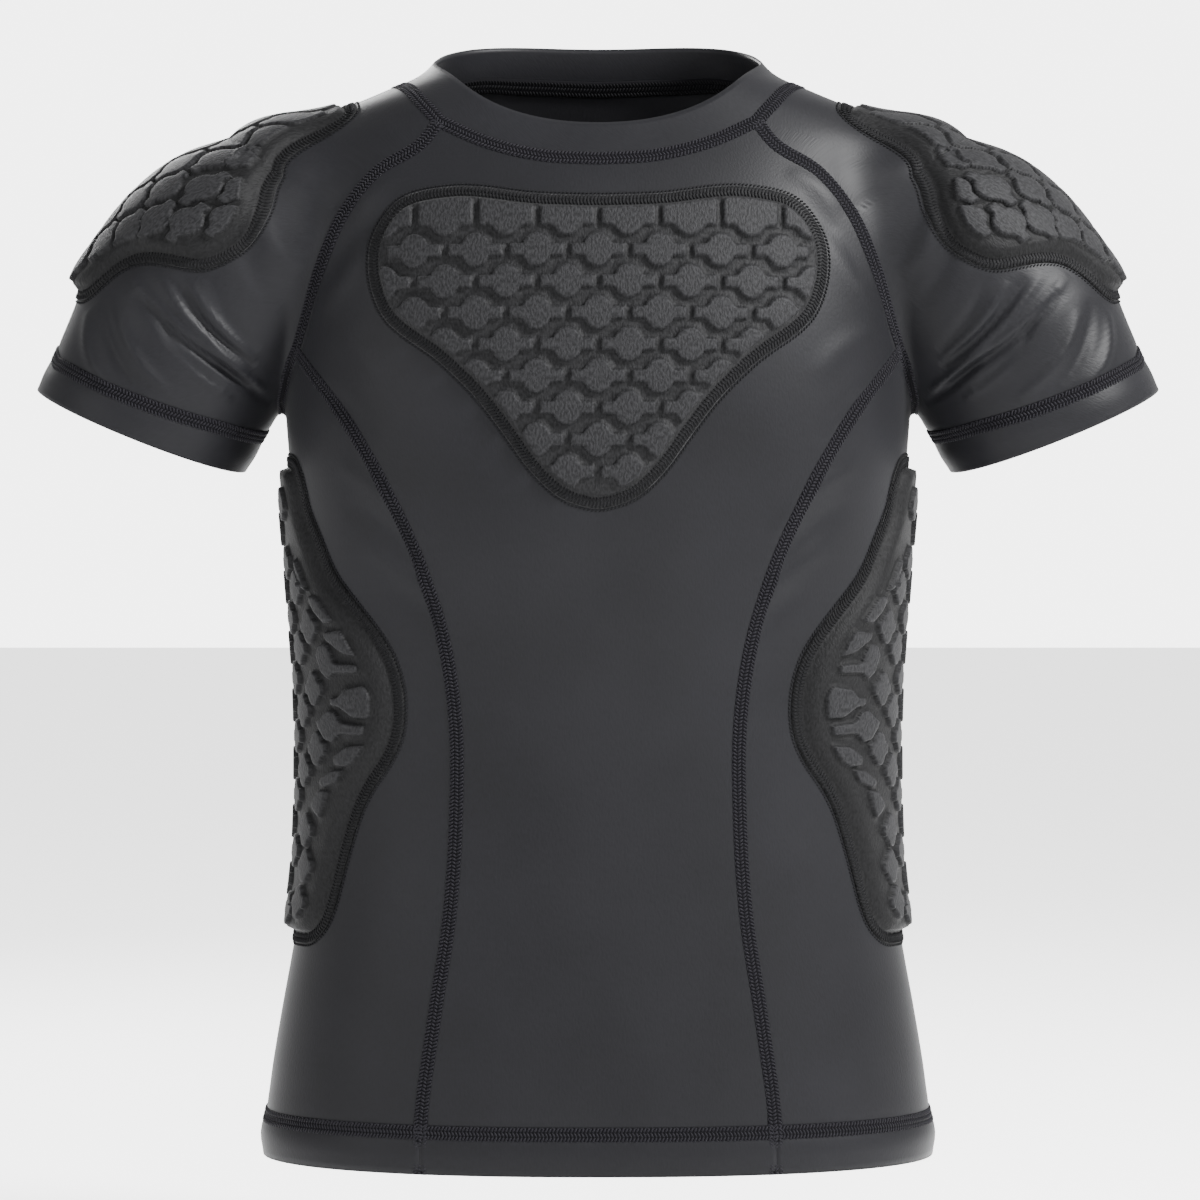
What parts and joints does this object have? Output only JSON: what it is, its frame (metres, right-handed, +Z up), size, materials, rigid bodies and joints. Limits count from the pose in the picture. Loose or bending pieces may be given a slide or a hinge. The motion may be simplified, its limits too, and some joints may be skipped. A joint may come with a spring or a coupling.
{
  "type": "padded compression shirt",
  "caption": "Short-sleeved raglan compression shirt with raised cell pads on chest, ribs and shoulders, in the round form it has when worn.",
  "frame": {"origin": "the middle of the neck, level with the shoulders that carry the shirt", "axes": "+Z up, +X to the viewer's right as the shirt is seen from the front, -Y out of the chest"},
  "size_m": [0.559, 0.206, 0.5575],
  "materials": {
    "cloth": "fine matt knit with a faint sheen",
    "collar": "smooth double knit band",
    "pad": "matt brushed knit over foam"
  },
  "bodies": {
    "root": {"front_panel": "cloth", "back_panel": "cloth", "side_panel_left": "cloth", "side_panel_right": "cloth", "sleeve_left": "cloth", "sleeve_right": "cloth", "collar_band": "collar", "chest_pad": "pad", "rib_pad_left": "pad", "rib_pad_right": "pad", "shoulder_pad_left": "pad", "shoulder_pad_right": "pad"}
  },
  "joints": []
}
